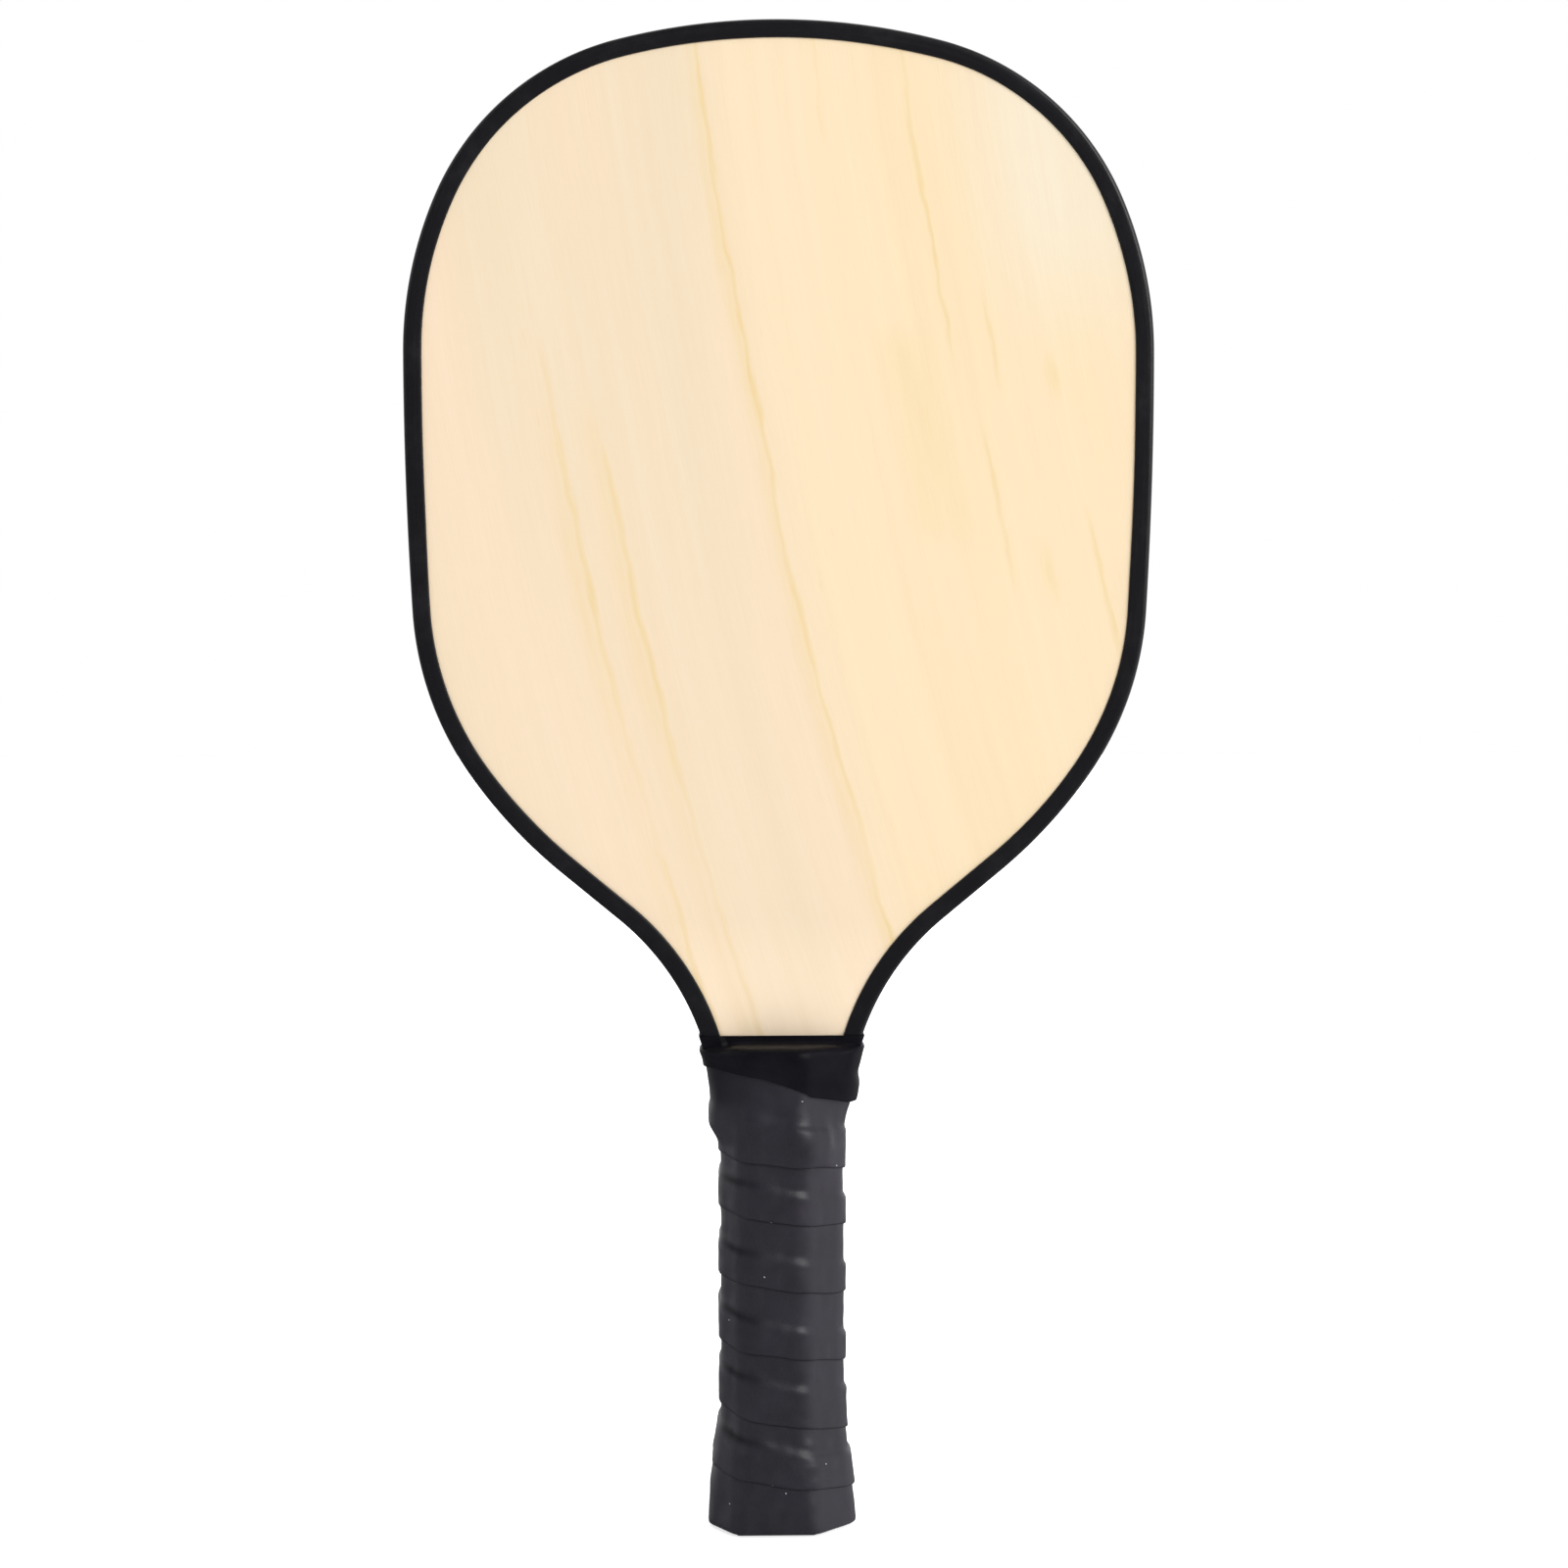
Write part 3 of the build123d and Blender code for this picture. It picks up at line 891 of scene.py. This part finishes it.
class Veneer(Surface):
    """Face veneer, with its own place across the bent grain."""

    def __init__(self, name, seed, back):
        super().__init__(name)
        self.seed = seed
        self.line_shift = BACK_SHIFT if back else 0.0
        x, _, self.z = self.split(self.position())
        if back:
            x = self.math("MULTIPLY", x, -1.0)
        self.height = self.math("SUBTRACT", self.z, GRAIN_MIDDLE)
        lean = self.math("MULTIPLY", self.height, GRAIN_LEAN)
        bend = self.product(self.product(self.height, self.height), GRAIN_BEND)
        across = self.math("ADD", x, self.math("ADD", lean, bend))
        self.grain = self.moved(across, self.drawn_out(across, 9.0, 7.0), GRAIN_WANDER)

    def drawn_out(self, place, across_scale, along_scale, shift=0.0, detail=3.0, roughness=0.5):
        """Noise with its own scale across and along the grain."""
        across = self.product(place, across_scale)
        at = self.join(across, shift + self.seed, self.product(self.height, along_scale))
        return self.noise(at, 1.0, detail, roughness)

    def moved(self, place, noise, reach):
        return self.math("ADD", place, self.product(self.math("SUBTRACT", noise, 0.5), reach))

    def streak(self, across_scale, along_scale, detail, roughness, shift):
        return self.drawn_out(self.grain, across_scale, along_scale, shift, detail, roughness)

    def growth_lines(self):
        """Strength of the growth lines, slightly jagged and broken."""
        jagged = self.moved(self.grain, self.drawn_out(self.grain, 260.0, 75.0), LINE_JAG)
        total = None
        for place, half_width, strength, foot, top in GROWTH_LINES:
            distance = self.math("ABSOLUTE", self.math("SUBTRACT", jagged, place + self.line_shift))
            near = self.remap(distance, 0.0, half_width, strength, 0.0, smooth=True)
            near = self.product(near, self.remap(self.z, foot, foot + LINE_FADE, smooth=True))
            near = self.product(near, self.remap(self.z, top, top - LINE_FADE, smooth=True))
            total = near if total is None else self.math("MAXIMUM", total, near)
        broken = self.remap(self.streak(120.0, 16.0, 3.0, 0.6, 30.0), 0.3, 0.62, 0.15, 1.0)
        return self.product(total, broken)

    def ground(self):
        """Colour of the sheet before its lines: bands on each half, a greyer corner, and painted light that
        brightens the throat.
        """
        bands = self.remap(self.streak(30.0, 3.0, 2.0, 0.5, 1.0), 0.35, 0.65, smooth=True)
        left = self.mix(bands, linear(231, 210, 182), linear(225, 208, 180))
        right = self.mix(bands, linear(234, 213, 176), linear(235, 214, 181))
        colour = self.mix(self.remap(self.grain, -TONE_EDGE, TONE_EDGE, smooth=True), left, right)
        aside = self.remap(self.grain, *CORNER_PLACE, smooth=True)
        corner = self.product(aside, self.remap(self.z, *CORNER_HEIGHT, smooth=True))
        colour = self.mix(corner, colour, linear(231, 218, 193))
        # painted light: paler towards the throat, where the handle's ledge shades the wood
        throat = self.remap(self.z, *THROAT_HEIGHT, 0.0, THROAT_SHARE)
        return self.mix(throat, colour, linear(250, 229, 200))


def veneer_material(name, seed, back):
    """Pale rotary-cut veneer: grain that leans and bends, growth lines, fibres and pores."""
    n = Veneer(name, seed, back)
    streaks = n.remap(n.streak(210.0, 5.0, 4.0, 0.6, 5.0), 0.35, 0.75)
    fibres = n.streak(2300.0, 46.0, 3.0, 0.65, 9.0)
    pores = n.remap(n.streak(1500.0, 95.0, 1.0, 0.4, 14.0), 0.70, 0.82, smooth=True)
    patches = n.remap(n.streak(60.0, 9.0, 2.0, 0.5, 20.0), 0.45, 0.75, smooth=True)
    colour = n.mix(n.product(streaks, 0.20), n.ground(), linear(223, 194, 155))
    colour = n.mix(n.growth_lines(), colour, linear(222, 193, 126))
    colour = n.mix(n.product(pores, patches, 0.35), colour, linear(212, 178, 116))
    fibre_tone = n.remap(fibres, 0.3, 0.7, 0.975, 1.0)
    n.base(n.mix(1.0, colour, n.join(fibre_tone, fibre_tone, fibre_tone), "MULTIPLY"))
    n.rough(n.remap(fibres, 0.3, 0.7, 0.56, 0.46))
    n.specular(0.28)
    n.bump(n.math("SUBTRACT", fibres, n.product(pores, 0.6)), 0.00004)
    return n.material


def plain_wood_material(name, dark, light, along_x):
    """Raw wood of the hidden pieces, grain along the handle or across it."""
    n = Surface(name)
    x, y, z = n.split(n.position())
    long, short = (x, z) if along_x else (z, x)
    fibres = n.join(n.product(short, 700.0), n.product(y, 700.0), n.product(long, 22.0))
    grain = n.noise(fibres, 1.0, 4.0, 0.6)
    n.base(n.mix(n.remap(grain, 0.3, 0.7), dark, light))
    n.rough(n.remap(grain, 0.3, 0.7, 0.75, 0.62))
    n.bump(grain, 0.00008)
    return n.material


def guard_material():
    """Extruded black PVC: fine draw lines along the channel and light scuffs."""
    n = Surface("guard_plastic")
    u, v, _ = n.split(n.strip_place())
    draw = n.noise(n.join(n.product(u, 30.0), n.product(v, 2600.0), 0.0), 1.0, 3.0, 0.6)
    scuff = n.remap(n.noise(n.position(), 85.0, 5.0, 0.7), 0.45, 0.8, smooth=True)
    n.base(n.mix(n.product(scuff, 0.5), linear(17, 17, 20), linear(25, 25, 29)))
    n.rough(n.math("ADD", n.remap(draw, 0.3, 0.7, 0.28, 0.36), n.product(scuff, 0.12)))
    n.specular(0.36)
    n.bump(n.math("ADD", draw, n.product(n.noise(n.position(), 420.0, 2.0), 0.8)), 0.00005)
    return n.material


SPECK_SCALE = 85.0  # cells per metre of tape
SPECK_RADIUS = 0.016  # in cells
SPECK_LIMIT = 0.72  # cells that draw less than this have no speck
RIM_SHADE = (0.0006, 0.0016)  # painted shade along the strip's lower edge, for the seam's shadow: dark up to the first, plain from the second


def dust_specks(n, strip):
    """1 on a few small specks of dust, 0 elsewhere."""
    cells = n.new("ShaderNodeTexVoronoi", feature="F1", voronoi_dimensions="2D")
    cells.inputs["Scale"].default_value = SPECK_SCALE
    n.link(strip, cells.inputs["Vector"])
    chosen = n.math("GREATER_THAN", n.split(cells.outputs["Color"])[0], SPECK_LIMIT)
    return n.product(n.math("LESS_THAN", cells.outputs["Distance"], SPECK_RADIUS), chosen)


def grip_material():
    """Matt polyurethane grip tape: fine pebble, slight mottling, a few dust specks, and painted shade in the
    grooves, on the top turn's left and along the seams.
    """
    n = Surface("grip_tape")
    where = n.position()
    pebble = n.noise(where, 2600.0, 2.0, 0.5)
    mottle = n.remap(n.noise(where, 60.0, 4.0, 0.6), 0.3, 0.7)
    smear = n.noise(where, 240.0, 3.0, 0.55)
    strip = n.strip_place()
    colour = n.mix(mottle, linear(33, 32, 38), linear(41, 39, 47))
    # painted shade: the strip's lower edge is darkened to draw the seam's shadow
    rim = n.remap(n.split(strip)[1], *RIM_SHADE, 0.75, 0.0, smooth=True)
    colour = n.mix(rim, colour, linear(14, 13, 17))
    # painted shade in the grooves and on the top turn's left: darker colour and a dimmer reflection
    colour = n.mix(n.product(n.share("crease"), 0.85), colour, linear(15, 14, 19))
    n.base(n.mix(n.product(dust_specks(n, strip), 0.7), colour, linear(190, 188, 192)))
    n.rough(n.remap(smear, 0.3, 0.7, 0.36, 0.46))
    n.specular(n.remap(n.share("crease"), 0.0, 1.0, 0.38, 0.12))
    n.bump(n.math("ADD", n.product(pebble, 0.35), smear), 0.00008)
    return n.material


def finishing_material():
    """Stretched black vinyl tape, smoother than the grip, with fine stretch lines."""
    n = Surface("finishing_tape")
    x, y, z = n.split(n.position())
    stretch = n.noise(n.join(n.product(x, 60.0), n.product(y, 60.0), n.product(z, 900.0)), 1.0, 4.0, 0.6)
    cloud = n.remap(n.noise(n.position(), 130.0, 3.0), 0.3, 0.7)
    n.base(n.mix(cloud, linear(16, 15, 19), linear(22, 21, 26)))
    sheen = n.remap(stretch, 0.3, 0.7, 0.28, 0.36)
    n.rough(n.math("ADD", sheen, n.product(n.share("ledge"), 0.25)))
    n.specular(n.remap(n.share("ledge"), 0.0, 1.0, 0.05, 0.13))
    n.bump(stretch, 0.00006)
    return n.material


def cap_material():
    """Matt moulded plastic with a fine grain."""
    n = Surface("cap_plastic")
    grain = n.noise(n.position(), 1400.0, 3.0, 0.6)
    cloud = n.remap(n.noise(n.position(), 90.0, 2.0), 0.3, 0.7)
    n.base(n.mix(cloud, linear(24, 24, 26), linear(33, 33, 35)))
    n.rough(n.remap(grain, 0.3, 0.7, 0.5, 0.62))
    n.bump(grain, 0.00006)
    return n.material


def staple_material():
    """Drawn steel wire."""
    n = Surface("staple_steel")
    n.shader.inputs["Metallic"].default_value = 1.0
    drawn = n.noise(n.position(), 900.0, 3.0, 0.6)
    n.base(n.mix(drawn, linear(150, 150, 153), linear(190, 190, 192)))
    n.rough(n.remap(drawn, 0.3, 0.7, 0.28, 0.42))
    n.bump(drawn, 0.00003)
    return n.material


def dress(obj, material):
    obj.data.materials.clear()
    obj.data.materials.append(material)


# ---------------------------------------------------------------- pieces
guard = make_guard()
add_section_uv(guard, len(guard_section(GUARD_BAND, 0.0)), STATION_STEP, GUARD_UV_STEP)
dress(guard, guard_material())
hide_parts("edge_guard")
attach(guard, "root")

grip = make_grip_tape()
dress(grip, grip_material())
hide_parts("grip_tape")
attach(grip, "root")

finish = make_finishing_tape()
dress(finish, finishing_material())
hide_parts("finishing_tape")
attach(finish, "root")

dress(cad["front_face_veneer"], veneer_material("front_veneer", 0.0, False))
dress(cad["back_face_veneer"], veneer_material("back_veneer", BACK_SEED, True))
cross_wood = plain_wood_material("cross_ply_wood", linear(196, 160, 116), linear(220, 188, 146), True)
for ply in ("front_cross_ply", "core_ply", "back_cross_ply"):
    dress(cad[ply], cross_wood)
long_wood = plain_wood_material("long_ply_wood", linear(205, 170, 126), linear(228, 198, 156), False)
for ply in ("front_long_ply", "back_long_ply"):
    dress(cad[ply], long_wood)
scale_wood = plain_wood_material("handle_wood", linear(186, 148, 102), linear(212, 178, 132), False)
for scale in ("front_handle_scale", "back_handle_scale"):
    dress(cad[scale], scale_wood)
dress(cad["butt_cap"], cap_material())
dress(cad["butt_cap_staples"], staple_material())

# ---------------------------------------------------------------- studio
FLOOR_HALF = 15.0
FLOOR_GLOW = 0.7


def make_floor():
    """Plain pale paper, hidden from glossy rays so that it draws no lines on the black tape."""
    corners = [(-FLOOR_HALF, -FLOOR_HALF, 0), (FLOOR_HALF, -FLOOR_HALF, 0)]
    corners += [(FLOOR_HALF, FLOOR_HALF, 0), (-FLOOR_HALF, FLOOR_HALF, 0)]
    floor = make_mesh("floor", corners, [(0, 1, 2, 3)])
    n = Surface("floor_paper")
    fleck = n.remap(n.noise(n.position(), 300.0, 3.0), 0.3, 0.7)
    n.base(n.mix(fleck, (0.88, 0.88, 0.88), (0.9, 0.9, 0.9)))
    n.shader.inputs["Roughness"].default_value = 0.9
    n.specular(0.1)
    n.shader.inputs["Emission Color"].default_value = (1, 1, 1, 1)
    n.shader.inputs["Emission Strength"].default_value = FLOOR_GLOW
    dress(floor, n.material)
    floor.visible_glossy = False


def add_sun(name, direction, strength, softness):
    """Soft studio light that comes from a direction; softness is its apparent width in degrees."""
    data = bpy.data.lights.new(name, "SUN")
    data.energy = strength
    data.angle = math.radians(softness)
    lamp = collection_add(bpy.data.objects.new(name, data))
    lamp.rotation_mode = "QUATERNION"
    lamp.rotation_quaternion = Vector(direction).to_track_quat("Z", "Y")


ROOM_DIM = 0.10
BACK_WALL = 0.9
RIGHT_PANEL = 0.9
LEFT_PANEL = 0.08
PANEL_EDGE = (0.55, 0.95)  # the side panels brighten from the first to the second, as parts of a unit vector
WALL_EDGE = (0.0, 0.5)  # the back wall brightens so backwards
WALL_FOOT = (-0.35, -0.05)  # and so upwards


def make_world():
    """White to the camera; to everything else a white back wall, soft side panels and a dim front."""
    world = bpy.data.worlds.new("studio")
    bpy.context.scene.world = world
    world.use_nodes = True
    world.node_tree.nodes.clear()
    n = Tree(world.node_tree)
    x, y, z = n.split(n.new("ShaderNodeTexCoord").outputs["Generated"])
    right = n.remap(x, *PANEL_EDGE, 0.0, RIGHT_PANEL, smooth=True)
    left = n.remap(n.product(x, -1.0), *PANEL_EDGE, 0.0, LEFT_PANEL, smooth=True)
    wall = n.product(n.remap(y, *WALL_EDGE, 0.0, BACK_WALL, smooth=True), n.remap(z, *WALL_FOOT, smooth=True))
    light = n.math("MAXIMUM", n.math("MAXIMUM", right, left), wall)
    room = n.new("ShaderNodeBackground")
    room.inputs["Color"].default_value = (0.98, 0.97, 1.0, 1)
    n.link(n.math("ADD", light, ROOM_DIM), room.inputs["Strength"])
    white = n.new("ShaderNodeBackground")
    white.inputs["Color"].default_value = (1, 1, 1, 1)
    mix = n.new("ShaderNodeMixShader")
    n.link(n.new("ShaderNodeLightPath").outputs["Is Camera Ray"], mix.inputs["Fac"])
    n.link(room.outputs[0], mix.inputs[1])
    n.link(white.outputs[0], mix.inputs[2])
    n.link(mix.outputs[0], n.new("ShaderNodeOutputWorld").inputs["Surface"])


make_floor()
add_sun("key_right", (0.585, -0.672, 0.454), 1.61, 34)
add_sun("fill_left", (-0.75, -0.35, 0.56), 0.4, 50)
add_sun("top", (0.1, 0.1, 1.0), 0.5, 50)
add_sun("back", (0.1, 0.7, 0.7), 0.4, 50)
make_world()
bpy.context.scene.view_settings.view_transform = "Standard"

# ---------------------------------------------------------------- camera
CAMERA_DISTANCE = 0.6055
CAMERA_AZIMUTH = math.radians(-1.0)
CAMERA_ELEVATION = math.radians(1.5)
CAMERA_ROLL = math.radians(-0.17)
CAMERA_LENS = 52.3
AIM = Vector((0.0009, 0, 0.1957))


def make_camera():
    data = bpy.data.cameras.new("camera")
    data.sensor_width = 36
    data.lens = CAMERA_LENS
    data.clip_start, data.clip_end = 0.01, 100
    camera = collection_add(bpy.data.objects.new("camera", data))
    across = math.sin(CAMERA_AZIMUTH) * math.cos(CAMERA_ELEVATION)
    ahead = -math.cos(CAMERA_AZIMUTH) * math.cos(CAMERA_ELEVATION)
    back = Vector((across, ahead, math.sin(CAMERA_ELEVATION)))
    camera.location = AIM + back * CAMERA_DISTANCE
    turn = (-back).to_track_quat("-Z", "Y")
    camera.rotation_euler = (turn @ Quaternion((0, 0, 1), CAMERA_ROLL)).to_euler()
    bpy.context.scene.camera = camera


make_camera()
